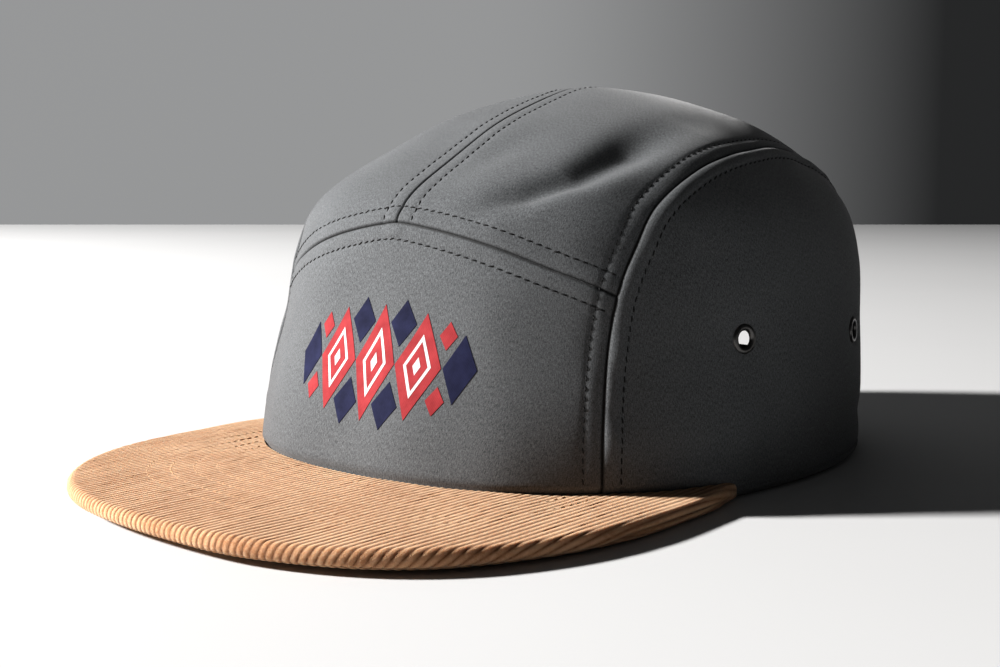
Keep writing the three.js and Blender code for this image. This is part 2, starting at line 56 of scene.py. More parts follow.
# Sizes in millimetres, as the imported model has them. The brim points to -Y and the wearer's left is at +X.
MM = 0.001
CROWN_HALF_WIDTH = 84.8
CROWN_FRONT_REACH = 103.4
CROWN_BACK_REACH = 87.2
CROWN_HEIGHT = 109
RIM_HEIGHT = 1.3
FRONT_SQUARENESS = 2.31
BACK_SQUARENESS = 2.03
CLOTH_THICKNESS = 1.6
SEAM_GAP = 0.3
SEAM_ROLL_HEIGHT = 0.8
BAND_CREASE_HEIGHT = 11
DENT_DEPTH = 3.9
DENT_SPREAD = 8.3
OPENING_WIDTH = 78
OPENING_HEIGHT = 46
OPENING_STRAIGHT = 13
STRAP_WIDTH = 19
STRAP_THICKNESS = 1.6
STRAP_FOOT = 3.4
STRAP_LAP = 11
SWEATBAND_HEIGHT = 30
SWEATBAND_THICKNESS = 1.2
BRIM_REACH = 61
BRIM_HALF_WIDTH = 84.2
BRIM_WIDEST_BACK = 31.1
BRIM_TAIL_REACH = 78
BRIM_SQUARENESS = 2.47
BRIM_THICKNESS = 4.4
BRIM_CAMBER = 1
BRIM_LIFT = 0.9
BRIM_TIP_WIDTH = 1.2
BRIM_FOOT = 0.1
BRIM_TOP = BRIM_FOOT + BRIM_THICKNESS + BRIM_CAMBER + BRIM_LIFT
OPENING_SPRING = RIM_HEIGHT + OPENING_STRAIGHT
EYELET_HOLE_RADIUS = 2.15
EYELET_BARREL_RADIUS = 2.6
EYELET_FLANGE_RADIUS = 3.9
EYELET_PRESS = 0.3
FOOT_SWELL = 1.7

# The crown's sections from the rim to the apex, as shares of its height and of its three reaches.
# They are the rounded result of a fit to the photo's outline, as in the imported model.
PROFILE = {
    "rise": [0, 0.15, 0.339, 0.526, 0.69, 0.845, 0.954, 1],
    "side": [1, 1.002, 0.992, 0.981, 0.904, 0.708, 0.378, 0],
    "front": [1, 0.96, 0.895, 0.841, 0.762, 0.49, 0.221, 0],
    "back": [1, 1.008, 1.02, 1.012, 0.925, 0.696, 0.36, 0],
}

# Seams as plan shares (across, back): the rim is 1 from the apex
SIDE_SEAM = np.array([
    (0.633, -0.774), (0.543, -0.662), (0.466, -0.552), (0.41, -0.457), (0.371, -0.37),
    (0.336, -0.29), (0.321, -0.188), (0.316, -0.069), (0.311, 0.03), (0.314, 0.17),
    (0.327, 0.33), (0.36, 0.49), (0.42, 0.615), (0.49, 0.71), (0.581, 0.814),
])
JUNCTION_ROW = 3
SHOULDER_ROW = 11
FRONT_SEAM = np.array([(0, -0.479), (0.1, -0.487), (0.2, -0.489), (0.3, -0.482), (0.41, -0.457)])
EYELETS = {"front": (0.63, -0.295), "rear": (0.691, 0.17)}

# Soft folds of the top panels (across, back, depth share, spread share).
# The second is the ridge below the first, and the last one lies on the wearer's right.
DENTS = [
    np.array([(0.13, -0.425, 0.15, 0.5), (0.18, -0.375, 0.65, 0.55), (0.22, -0.31, 0.9, 0.65),
              (0.235, -0.22, 0.95, 0.8), (0.23, -0.1, 0.3, 1.2)]),
    np.array([(0.145, -0.45, -0.02, 0.5), (0.21, -0.395, -0.15, 0.5), (0.262, -0.3, -0.2, 0.6),
              (0.282, -0.18, -0.2, 0.8), (0.27, -0.03, 0, 1.2)]),
    np.array([(0.065, -0.37, 0.08, 0.7), (0.08, -0.31, 0.22, 0.8), (0.1, -0.24, 0.05, 1)]),
    np.array([(-0.2, -0.3, 0.1, 1), (-0.24, -0.1, 0.4, 1.7), (-0.22, 0.12, 0.1, 1.4)]),
]

# Sewing
STITCH_PITCH = 2.5
THREAD_RADIUS = 0.25
THREAD_SHOWN = 0.78
THREAD_SINK = 0.09
SEAM_ROW = 4.7
CENTRE_ROW = 5.2
SEAM_TUCK = 0.6
CENTRE_TUCK = 0.5
SEAM_SHADOW = 0.38
PUCKER_HEIGHT = 0.06
PILLOW_HEIGHT = 0.1
GROOVE_DEPTH = 0.14
HEM_WIDTH = 8
HEM_ROW = 6.3
SWEATBAND_ROW = 2.6

# Corduroy
WALE = 1.8
WALE_HEIGHT = 0.32
WALE_FLATNESS = 0.45
BRIM_ROWS = [20, 26, 32, 38, 44, 50, 56]
BRIM_STITCH_PITCH = 2.8
BRIM_THREAD_RADIUS = 0.15
BRIM_THREAD_SINK = 0.14

# Heights of the broad waves in the cloth
TOP_WAVES = 0.22
SIDE_WAVES = 0.24
BRIM_WAVES = 0.1

# The row frame has its origin under the middle of the cap's box
SHIFT = cad_box[0].y / MM + CROWN_FRONT_REACH + BRIM_REACH


# Crown surface
def between_rows(rows, i, w):
    """A smooth curve through rows, at the share w between rows i + 1 and i + 2."""
    p0, p1, p2, p3 = rows[i], rows[i + 1], rows[i + 2], rows[i + 3]
    bend = 2 * p0 - 5 * p1 + 4 * p2 - p3
    return (2 * p1 + (p2 - p0) * w + bend * w ** 2 + (3 * p1 - p0 - 3 * p2 + p3) * w ** 3) / 2


def profile(column, parity, share):
    c = PROFILE[column]
    rows = np.array([2 * c[0] - c[1], *c, parity * c[-2], parity * c[-3]])
    place = np.asarray(share, float) * (len(c) - 1)
    i = np.clip(np.floor(place).astype(int), 0, len(c) - 2)
    return between_rows(rows, i, place - i)


def rise_at(share):
    return RIM_HEIGHT + CROWN_HEIGHT * profile("rise", 1, share)


def outline(share, turn):
    across, back = np.sin(turn), -np.cos(turn)
    ahead = back < 0
    side = np.maximum(CROWN_HALF_WIDTH * profile("side", -1, share), 1e-6)
    front = CROWN_FRONT_REACH * profile("front", -1, share)
    rear = CROWN_BACK_REACH * profile("back", -1, share)
    along = np.maximum(np.where(ahead, front, rear), 1e-6)
    square = np.where(ahead, FRONT_SQUARENESS, BACK_SQUARENESS)
    radius = ((np.abs(across) / side) ** square + (np.abs(back) / along) ** square) ** (-1 / square)
    return np.stack(np.broadcast_arrays(radius * across, radius * back, rise_at(share)), -1)


def crown(places):
    across, back = places[..., 0], places[..., 1]
    return outline(1 - np.hypot(across, back), np.arctan2(across, -back))


def unit(vectors):
    return vectors / np.maximum(np.linalg.norm(vectors, axis=-1, keepdims=True), 1e-12)


def crown_slopes(places):
    step = 1e-3
    return [(crown(places + shift) - crown(places - shift)) / (2 * step)
            for shift in (np.array([step, 0]), np.array([0, step]))]


def crown_normal(places):
    return unit(np.cross(*crown_slopes(places)))


SHARES = np.linspace(-0.08, 0.9, 800)
RISES = rise_at(SHARES)


def turn_at(x, height, behind=False):
    """The turn at which the wall of the crown lies x across, at a height."""
    share = np.interp(height, RISES, SHARES)
    x = np.asarray(x, float)
    low, high = np.zeros_like(x), np.full_like(x, math.pi / 2)
    for _ in range(40):
        middle = (low + high) / 2
        reach = outline(share, math.pi - middle if behind else middle)[..., 0]
        low, high = np.where(reach < np.abs(x), middle, low), np.where(reach < np.abs(x), high, middle)
    turn = (low + high) / 2
    return np.sign(x) * turn if not behind else math.pi - np.sign(x) * turn


def place_at(x, height, behind=False):
    turn = turn_at(x, height, behind)
    share = np.interp(height, RISES, SHARES)
    return np.stack([(1 - share) * np.sin(turn), -(1 - share) * np.cos(turn)], -1)


def wall(turn, height, inset):
    """Points level with places on the wall of the crown, inset from its outer face."""
    share = np.interp(height, RISES, SHARES)
    point = outline(share, turn)
    ahead = unit(outline(share, turn + 1e-3) - outline(share, turn - 1e-3))
    outward = np.stack([ahead[..., 1], -ahead[..., 0], np.zeros_like(ahead[..., 0])], -1)
    outward *= np.sign((outward * point).sum(-1, keepdims=True))
    return point - outward * np.asarray(inset)[..., None]


# Lines on the crown
def spline(points, rows):
    p = np.vstack([points[:1], points, points[-1:]])
    i = np.clip(np.floor(rows).astype(int), 0, len(points) - 2)
    return between_rows(p, i, (rows - i)[:, None])


def lengths(points, axis=0):
    steps = np.linalg.norm(np.diff(points, axis=axis), axis=-1)
    zero = np.zeros_like(np.take(steps, [0], axis=axis))
    return np.concatenate([zero, np.cumsum(steps, axis=axis)], axis)


def resampled(values, along, wanted):
    return np.stack([np.interp(wanted, along, column) for column in values.T], -1)


def line(points, first, last, count):
    """Places on a seam between two of its rows, evenly spaced on the crown."""
    places = spline(points, np.linspace(first, last, 8 * count))
    along = lengths(crown(places))
    return resampled(places, along, np.linspace(0, along[-1], count))


def rim(start, end, count):
    turns = np.linspace(math.atan2(start[0], -start[1]), math.atan2(end[0], -end[1]), count)
    return np.stack([np.sin(turns), -np.cos(turns)], -1)


def mirrored(places):
    return places * [-1, 1]


def beside(places, offset):
    """A line of places moved sideways over the crown, by a length in millimetres."""
    for part in range(2):
        across, back = crown_slopes(places)
        tangent = unit(np.gradient(crown(places), axis=0))
        side = np.cross(tangent, unit(np.cross(across, back))) * offset / 2
        aa, ab, bb = (across * across).sum(-1), (across * back).sum(-1), (back * back).sum(-1)
        sa, sb = (side * across).sum(-1), (side * back).sum(-1)
        det = aa * bb - ab * ab
        places = places + np.stack([(sa * bb - sb * ab) / det, (sb * aa - sa * ab) / det], -1)
    return places


RISE = line(SIDE_SEAM, 0, JUNCTION_ROW, 120)
TOP = line(SIDE_SEAM, JUNCTION_ROW, SHOULDER_ROW, 160)
FALL = line(SIDE_SEAM, SHOULDER_ROW, len(SIDE_SEAM) - 1, 120)
RISE[0] /= np.linalg.norm(RISE[0])
FALL[-1] /= np.linalg.norm(FALL[-1])
FRONT_HALF = line(FRONT_SEAM, 0, len(FRONT_SEAM) - 1, 100)
FRONT_HALF[-1] = RISE[-1]
CENTRE = line(np.array([FRONT_SEAM[0], (0, 0), (0, 1)]), 0, 2, 200)
SIDE_LINE = np.vstack([RISE, TOP[1:], FALL[1:]])
FRONT_LINE = np.vstack([mirrored(FRONT_HALF)[::-1], FRONT_HALF[1:]])


def arch_places(grow=0, count=181):
    """The back opening's edge from one foot over the top to the other, grown by a length."""
    half = OPENING_WIDTH / 2 + grow
    turns = np.linspace(0, math.pi, count)
    x = half * np.cos(turns)
    z = OPENING_SPRING + (OPENING_HEIGHT - OPENING_STRAIGHT + grow) * np.sin(turns)
    legs = np.linspace(RIM_HEIGHT, OPENING_SPRING, 20, endpoint=False)
    x = np.concatenate([np.full(20, half), x, np.full(20, -half)])
    z = np.concatenate([legs, z, legs[::-1]])
    places = place_at(x, z, behind=True)
    along = lengths(crown(places))
    return resampled(places, along, np.linspace(0, along[-1], count))


ARCH = arch_places()


# Distances and relief
def nearest(path, points):
    """How far each point lies from a path, and how far along the path that is."""
    start, step = path[:-1], np.diff(path, axis=0)
    size = (step ** 2).sum(1)
    along = lengths(path)
    flat = points.reshape(-1, 3)
    gap, place = np.empty(len(flat)), np.empty(len(flat))
    for k in range(0, len(flat), 3000):
        away = flat[k:k + 3000, None] - start
        w = np.clip((away * step).sum(2) / size, 0, 1)
        square = ((away - w[..., None] * step) ** 2).sum(2)
        i = square.argmin(1)
        own = np.arange(len(i))
        gap[k:k + 3000] = np.sqrt(square[own, i])
        place[k:k + 3000] = along[i] + w[own, i] * np.sqrt(size[i])
    return gap.reshape(points.shape[:-1]), place.reshape(points.shape[:-1])


SIDE_PATH, FRONT_PATH, CENTRE_PATH = (crown(places[::3]) for places in (SIDE_LINE, FRONT_LINE, CENTRE))


def smooth(low, high, value):
    t = np.clip((value - low) / (high - low), 0, 1)
    return t * t * (3 - 2 * t)


def bump(distance, centre, spread):
    return np.exp(-((distance - centre) / spread) ** 2)


def wave_set(length, count=9):
    """Waves of about one length in all directions, for a soft unevenness."""
    ways = unit(rng.normal(size=(count, 3)))
    return ways * (2 * math.pi / (length * rng.uniform(0.7, 1.5, count)))[:, None], rng.uniform(0, 6.3, count)


def waves(points, made):
    ways, starts = made
    return np.sin(points @ ways.T + starts).sum(-1) / math.sqrt(len(starts))


BROAD, PUCKER = wave_set(34), wave_set(9)


def folded(points):
    """Points of both sides brought to the wearer's left."""
    return np.abs(points * [1, 0, 0]) + points * [0, 1, 1]


def side_gap(points):
    """How far points of either side lie from the seam of the side panel."""
    return nearest(SIDE_PATH, folded(points))[0]


def dent_lift(points):
    lift = 0
    for rows in DENTS:
        path = crown(rows[:, :2])
        gap, along = nearest(path, points)
        depth = np.interp(along, lengths(path), rows[:, 2]) * DENT_DEPTH
        spread = np.interp(along, lengths(path), rows[:, 3]) * DENT_SPREAD
        lift = lift - depth * np.exp(-(gap / spread) ** 2)
    return lift


def sewn_edge(points, gap, row, tuck):
    """Relief beside a seam: the edge turns in, and the cloth is drawn down along the stitches."""
    puckers = PUCKER_HEIGHT * waves(points, PUCKER) * bump(gap, row - 1, 3.5)
    pillow = PILLOW_HEIGHT * bump(gap, row / 2, row / 3)
    return puckers + pillow - tuck * np.exp(-(gap / 0.36) ** 2) - GROOVE_DEPTH * bump(gap, row, 0.75)


def foot_swell(points):
    """The cloth swells out over the inner edge of the brim."""
    x, y, z = np.moveaxis(points, -1, 0)
    top = brim_middle(x, y) + BRIM_ROUND
    beside_brim = smooth(TIP_OUT[1], TIP_OUT[1] - 25, y)
    return FOOT_SWELL * beside_brim * smooth(top - 0.2, top + 1.4, z) * (1 - smooth(top + 3, top + 45, z))


def inner_lift(points):
    """Relief of the front and top panels."""
    lift = dent_lift(points) + TOP_WAVES * waves(points, BROAD) + foot_swell(points)
    lift = lift + sewn_edge(points, side_gap(points), SEAM_ROW, SEAM_TUCK)
    lift = lift + sewn_edge(points, nearest(FRONT_PATH, points)[0], SEAM_ROW, SEAM_TUCK)
    lift = lift + sewn_edge(points, nearest(CENTRE_PATH, points)[0], CENTRE_ROW, CENTRE_TUCK)
    return lift - 0.45 * bump(points[..., 2], RIM_HEIGHT, 0.6)


def pressed(points):
    """How far the cloth is pressed together by the eyelets, from 0 to 1."""
    centres = [crown(np.array(place)) for place in EYELETS.values()]
    gaps = [np.linalg.norm(folded(points) - centre, axis=-1) for centre in centres]
    return sum(1 - smooth(EYELET_FLANGE_RADIUS - 0.4, EYELET_FLANGE_RADIUS + 1.6, gap) for gap in gaps)


def side_lift(points):
    """Relief of the side panels: a rolled edge along the seam, soft creases and a lip at the rim."""
    gap = side_gap(points)
    height = points[..., 2]
    above = smooth(BRIM_TOP, BRIM_TOP + 10, height)
    roll = 1.15 * SEAM_ROLL_HEIGHT * (1 - np.exp(-gap / 0.8)) * (1 - smooth(2.2, 6.4, gap)) * above
    lift = roll - 0.35 * np.exp(-(gap / 0.3) ** 2) - 0.22 * bump(gap, SEAM_ROW, 0.6)
    lift = lift + 0.16 * waves(points, PUCKER) * bump(gap, 3.4, 3.4) + SIDE_WAVES * waves(points, BROAD)
    lift = lift + foot_swell(points) - EYELET_PRESS * pressed(points)
    inside = smooth(6, 16, gap)
    lift = lift - 0.7 * bump(height, RIM_HEIGHT + BAND_CREASE_HEIGHT, 4) * inside
    return lift - 0.4 * bump(height, RIM_HEIGHT + 2.1, 0.45) - 0.3 * bump(height, RIM_HEIGHT, 0.5)


# Meshes
def cell_corners(number):
    """The four corners of each cell of a grid of numbers."""
    return number[:-1, :-1], number[:-1, 1:], number[1:, 1:], number[1:, :-1]


def quads_out(points, faces):
    """Quads of a closed body, turned so that they point out."""
    corner = points[faces]
    volume = sum((corner[:, 0] * np.cross(corner[:, i], corner[:, i + 1])).sum() for i in (1, 2))
    return faces[:, ::-1] if volume < 0 else faces


def shell(outer, inner, keep=None):
    """Points and faces of a closed body between two grids; keep tells which cells it has."""
    rows, columns = outer.shape[:2]
    keep = np.ones((rows - 1, columns - 1), bool) if keep is None else keep
    a, b, c, d = cell_corners(np.arange(rows * columns).reshape(rows, columns))
    under = rows * columns
    faces = [np.stack([a, b, c, d], -1)[keep], np.stack([d, c, b, a], -1)[keep] + under]
    padded = np.pad(keep, 1)
    sides = ((a, b, padded[:-2, 1:-1]), (b, c, padded[1:-1, 2:]),
             (c, d, padded[2:, 1:-1]), (d, a, padded[1:-1, :-2]))
    for p, q, beyond in sides:
        faces.append(np.stack([q, p, p + under, q + under], -1)[keep & ~beyond])
    used, faces = np.unique(np.concatenate(faces), return_inverse=True)
    faces = faces.reshape(-1, 4)
    points = np.concatenate([outer.reshape(-1, 3), inner.reshape(-1, 3)])[used]
    return points, quads_out(points, faces).tolist(), used


def placed(name, data):
    made = bpy.data.objects.new(name, data)
    bpy.context.scene.collection.objects.link(made)
    return made


def make_piece(name, points, faces, material, values=None, sharp=55):
    """A piece of the cap from points in millimetres, with named values on them for its material."""
    mesh = bpy.data.meshes.new(name)
    mesh.from_pydata(((points + [0, SHIFT, 0]) * MM).tolist(), [], faces)
    for key, value in (values or {}).items():
        kind, field = ("FLOAT_VECTOR", "vector") if value.ndim == 2 else ("FLOAT", "value")
        mesh.attributes.new(key, kind, "POINT").data.foreach_set(field, value.astype(np.float32).ravel())
    work = bmesh.new()
    work.from_mesh(mesh)
    bmesh.ops.remove_doubles(work, verts=work.verts, dist=1e-7)
    work.to_mesh(mesh)
    work.free()
    mesh.shade_smooth()
    mesh.set_sharp_from_angle(angle=math.radians(sharp))
    mesh.materials.append(material)
    piece = placed(name, mesh)
    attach(piece, "root")
    return piece


def blended(foot, head, left, right):
    u = np.linspace(0, 1, len(foot))[None, :, None]
    v = np.linspace(0, 1, len(left))[:, None, None]
    corners = (1 - u) * (1 - v) * foot[0] + u * (1 - v) * foot[-1] + (1 - u) * v * head[0] + u * v * head[-1]
    return (1 - v) * foot + v * head + (1 - u) * left[:, None] + u * right[:, None] - corners


def graded(length, first, last, middle):
    """Distances along a line of a panel, with fine steps beside its edges."""
    squeeze = min(1, 0.42 * length / max(first[-1], last[-1]))
    low, high = np.array(first) * squeeze, length - np.array(last)[::-1] * squeeze
    return np.concatenate([low, np.linspace(low[-1], high[0], middle + 2)[1:-1], high])


def regraded(grid, first, last, step):
    along = lengths(crown(grid), axis=1)
    middle = int(along[:, -1].max() / step)
    return np.stack([resampled(row, s, graded(s[-1], first, last, middle)) for row, s in zip(grid, along)])


SEAM_STEPS = [0, 0.2, 0.4, 0.65, 1, 1.5, 2.2, 3, 3.6, 4, 4.35, 4.7, 5.05, 5.4, 5.8, 6.4, 7.3, 8.6]
RIM_STEPS = [0, 0.3, 0.7, 1.2, 1.6, 2, 2.4, 3, 4, 5.4]
PANEL_STEP = 1.5


def panel_grid(foot, head, left, right, edges):
    grid = regraded(blended(foot, head, left, right), edges[2], edges[3], PANEL_STEP)
    return regraded(grid.swapaxes(0, 1), edges[0], edges[1], PANEL_STEP).swapaxes(0, 1)


def panel(name, grid, lift_of, material, keep=None, base=None):
    points = crown(grid) if base is None else base
    normals = crown_normal(grid)
    lift = lift_of(points)
    shared = dent_lift(points) if lift_of is inner_lift else 0.9 * pressed(points)
    outer = points + normals * lift[..., None]
    inner = points + normals * (shared - CLOTH_THICKNESS)[..., None]
    made, faces, used = shell(outer, inner, keep)
    weave = np.stack([lengths(points, 1), lengths(points, 0), np.zeros_like(lift)], -1).reshape(-1, 3)
    # Painted shade along the seams: a narrow band at each seam, SEAM_SHADOW wide, that the cloth material
    # darkens to near black.
    near_seam = np.minimum(side_gap(points), nearest(FRONT_PATH, points)[0])
    near_seam = np.minimum(near_seam, nearest(CENTRE_PATH, points)[0] + SEAM_SHADOW)
    seam = np.exp(-(near_seam / SEAM_SHADOW) ** 2).ravel()
    values = {"weave": np.tile(weave, (2, 1))[used], "seam": np.tile(seam, 2)[used]}
    piece = make_piece(f"cloth_{name}", made, faces, material, values)
    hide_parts(name)
    return piece


def snapped(points, keep, target):
    """Points on the border of what keep leaves out, moved to where target puts them."""
    count, full = (sum(corner.astype(int) for corner in cell_corners(np.pad(cells, 1)))
                   for cells in (keep, np.ones_like(keep)))
    border = (count > 0) & (count < full)
    moved = points.copy()
    moved[border] = target(points[border])
    return moved


# Materials
def node(tree, kind, inputs=None, **settings):
    made = tree.nodes.new(f"ShaderNode{kind}")
    for key, value in settings.items():
        setattr(made, key, value)
    for key, value in (inputs or {}).items():
        if isinstance(value, bpy.types.NodeSocket):
            tree.links.new(value, made.inputs[key])
        else:
            made.inputs[key].default_value = value
    return made


def math_node(tree, operation, *values):
    return node(tree, "Math", dict(enumerate(values)), operation=operation).outputs[0]


def noise(tree, scale, detail=3, vector=None, roughness=0.55):
    inputs = {"Scale": scale, "Detail": detail, "Roughness": roughness}
    if vector is None:
        vector = node(tree, "TexCoord").outputs["Object"]
    return node(tree, "TexNoise", {**inputs, "Vector": vector}).outputs["Fac"]


def blend_colour(tree, factor, first, second):
    made = node(tree, "Mix", data_type="RGBA")
    for socket, value in ((made.inputs[0], factor), (made.inputs[6], first), (made.inputs[7], second)):
        if isinstance(value, bpy.types.NodeSocket):
            tree.links.new(value, socket)
        else:
            socket.default_value = value
    return made.outputs[2]


def surface(name, roughness, **settings):
    """A material's tree and its main shader."""
    material = bpy.data.materials.new(name)
    material.use_nodes = True
    shader = material.node_tree.nodes["Principled BSDF"]
    shader.inputs["Roughness"].default_value = roughness
    shader.inputs["Specular IOR Level"].default_value = 0.2
    for key, value in settings.items():
        shader.inputs[key.replace("_", " ")].default_value = value
    return material, material.node_tree, shader


def attribute(tree, name, output="Vector"):
    return node(tree, "Attribute", attribute_name=name).outputs[output]


def set_bump(tree, shader, height, distance, strength=1.0):
    made = node(tree, "Bump", {"Height": height, "Distance": distance, "Strength": strength})
    tree.links.new(made.outputs[0], shader.inputs["Normal"])


def yarns(tree, pitch):
    """A plain weave from -1 to 1 over the cloth's own millimetres."""
    parts = node(tree, "SeparateXYZ", {"Vector": attribute(tree, "weave")})
    around = 2 * math.pi / pitch
    sines = [math_node(tree, "SINE", math_node(tree, "MULTIPLY", parts.outputs[k], around)) for k in (0, 1)]
    return math_node(tree, "MULTIPLY", *sines)


def grey(value, warmth=0.0):
    return (value * (1 + warmth), value, value * (1 - warmth), 1)


def woven(name, dark, light, pitch, depth, roughness=0.9, **settings):
    """Cloth of mottled yarns: specks of single fibres over a faint weave and broad wear, with painted shade
    along the seams.
    """
    material, tree, shader = surface(name, roughness, **settings)
    weave = yarns(tree, pitch)
    upright = node(tree, "Mapping", {"Vector": attribute(tree, "weave"), "Scale": (1, 0.3, 1)}).outputs[0]
    grain = noise(tree, 3300, 2, roughness=0.7)
    slub = noise(tree, 3.5, 2, upright, 0.7)
    worn = noise(tree, 38, 4)
    mix = math_node(tree, "MULTIPLY_ADD", grain, 1.2, -0.45)
    mix = math_node(tree, "MULTIPLY_ADD", slub, 1.4, math_node(tree, "SUBTRACT", mix, 0.45))
    mix = math_node(tree, "MULTIPLY_ADD", worn, 0.3, mix)
    cloth = blend_colour(tree, mix, dark, light)
    # Painted shade: the cloth is blended to near black along the seams, by the seam value of the panels.
    shadowed = attribute(tree, "seam", "Fac")
    tree.links.new(blend_colour(tree, shadowed, cloth, grey(0.005)), shader.inputs["Base Color"])
    height = math_node(tree, "MULTIPLY_ADD", grain, 2, slub)
    height = math_node(tree, "MULTIPLY_ADD", weave, 0.08, height)
    set_bump(tree, shader, height, depth * MM, 0.8)
    return material


def corduroy_material():
    material, tree, shader = surface("corduroy", 0.95, Sheen_Weight=0.3, Sheen_Roughness=0.45)
    shader.inputs["Sheen Tint"].default_value = (1, 0.8, 0.6, 1)
    shader.inputs["Subsurface Weight"].default_value = 0.8
    shader.inputs["Subsurface Radius"].default_value = (1, 0.75, 0.6)
    shader.inputs["Subsurface Scale"].default_value = 2.2 * MM
    nap = noise(tree, 48, 5, roughness=0.62)
    tuft = noise(tree, 620, 3, roughness=0.65)
    fibre = noise(tree, 3200, 2)
    wale = attribute(tree, "wale", "Fac")
    brown, tan, pale = (0.37, 0.187, 0.092, 1), (0.53, 0.312, 0.178, 1), (0.62, 0.396, 0.247, 1)
    pile = blend_colour(tree, math_node(tree, "MULTIPLY_ADD", nap, 4.5, -1.75), brown, tan)
    pile = blend_colour(tree, math_node(tree, "MULTIPLY_ADD", tuft, 2.4, -1), pile, pale)
    pile = blend_colour(tree, math_node(tree, "MULTIPLY_ADD", fibre, 1.2, -0.5), pile, pale)
    # Painted shade in the grooves between the wales: the pile is blended towards dark brown where the wale
    # value is low, scaled by the tuft noise.
    groove_shade_strength = math_node(tree, "MULTIPLY_ADD", tuft, 2.4, 0.1)
    depth = math_node(tree, "SUBTRACT", 1.0, math_node(tree, "POWER", wale, 0.6))
    depth = math_node(tree, "MULTIPLY", depth, groove_shade_strength)
    tree.links.new(blend_colour(tree, depth, pile, (0.2, 0.085, 0.036, 1)), shader.inputs["Base Color"])
    set_bump(tree, shader, fibre, 0.16 * MM, 0.9)
    return material


def thread_material(name, colour, ends):
    material, tree, shader = surface(name, 0.7)
    # Painted shade at the stitch ends, where the thread goes down into the cloth: the colour is blended to
    # the darker ends colour by the sunk value.
    sunk = attribute(tree, "sunk", "Fac")
    tree.links.new(blend_colour(tree, sunk, colour, ends), shader.inputs["Base Color"])
    set_bump(tree, shader, noise(tree, 5000, 2), 0.03 * MM)
    return material


def ink_material(name, dark, light):
    material, tree, shader = surface(name, 0.75, Specular_IOR_Level=0.06)
    worn = math_node(tree, "MULTIPLY_ADD", noise(tree, 260, 5), 2.4, -0.7)
    tree.links.new(blend_colour(tree, worn, dark, light), shader.inputs["Base Color"])
    height = math_node(tree, "MULTIPLY_ADD", yarns(tree, 0.62), 0.3, noise(tree, 1900, 2))
    set_bump(tree, shader, height, 0.05 * MM, 0.7)
    return material


def metal_material():
    material, tree, shader = surface("gunmetal", 0.3, Metallic=1.0)
    worn = noise(tree, 500, 4)
    tree.links.new(blend_colour(tree, worn, grey(0.05), grey(0.16, 0.03)), shader.inputs["Base Color"])
    rough = math_node(tree, "MULTIPLY_ADD", worn, 0.3, 0.16)
    tree.links.new(rough, shader.inputs["Roughness"])
    set_bump(tree, shader, noise(tree, 1800, 3), 0.02 * MM, 0.5)
    return material


canvas = woven("canvas", grey(0.016, -0.04), grey(0.165, -0.04), 0.62, 0.045, 0.85,
               Sheen_Weight=0.2, Sheen_Roughness=0.35)
lining = woven("lining", grey(0.1), grey(0.2), 0.7, 0.1, 0.9, Sheen_Weight=0.1)
webbing = woven("webbing", grey(0.02), grey(0.06), 1.1, 0.25, 0.8, Sheen_Weight=0.2)
corduroy = corduroy_material()
# The crown thread is near black, darker than the cloth: partly its own colour, partly painted shade of
# stitches lying in their grooves. The second colour of each thread is painted shade for the stitch ends.
crown_thread = thread_material("crown_thread", grey(0.009), grey(0.003))
brim_thread = thread_material("brim_thread", (0.5, 0.29, 0.155, 1), (0.38, 0.21, 0.1, 1))
gunmetal = metal_material()
print_red = ink_material("print_red", (0.24, 0.028, 0.032, 1), (0.34, 0.045, 0.05, 1))
print_navy = ink_material("print_navy", (0.008, 0.009, 0.028, 1), (0.018, 0.02, 0.055, 1))
print_white = ink_material("print_white", (0.5, 0.5, 0.5, 1), (0.66, 0.66, 0.66, 1))


# Crown panels
def front_panel():
    foot = rim(mirrored(RISE)[0], RISE[0], len(FRONT_LINE))
    grid = panel_grid(foot, FRONT_LINE, mirrored(RISE), RISE, (RIM_STEPS, SEAM_STEPS, SEAM_STEPS, SEAM_STEPS))
    panel("front_panel", grid, inner_lift, canvas)


def top_panels():
    side = np.vstack([TOP, FALL[1:]])
    side = resampled(side, lengths(crown(side)), np.linspace(0, lengths(crown(side))[-1], len(CENTRE)))
    foot = rim((0, 1), FALL[-1], len(FRONT_HALF))
    grid = panel_grid(FRONT_HALF, foot, CENTRE, side, (SEAM_STEPS, RIM_STEPS, SEAM_STEPS, SEAM_STEPS))
    for name, places in (("left", grid), ("right", mirrored(grid))):
        points = crown(places)
        middle = (points[:-1, :-1] + points[1:, 1:]) / 2
        up = np.maximum(middle[..., 2] - OPENING_SPRING, 0) / (OPENING_HEIGHT - OPENING_STRAIGHT)
        keep = (middle[..., 1] < 0) | (np.hypot(middle[..., 0] / (OPENING_WIDTH / 2), up) > 1)
        on_arch = crown(ARCH)

        def to_arch(border):
            return on_arch[np.array([((on_arch - point) ** 2).sum(1).argmin() for point in border])]

        panel(f"top_panel_{name}", places, inner_lift, canvas, keep, snapped(points, keep, to_arch))


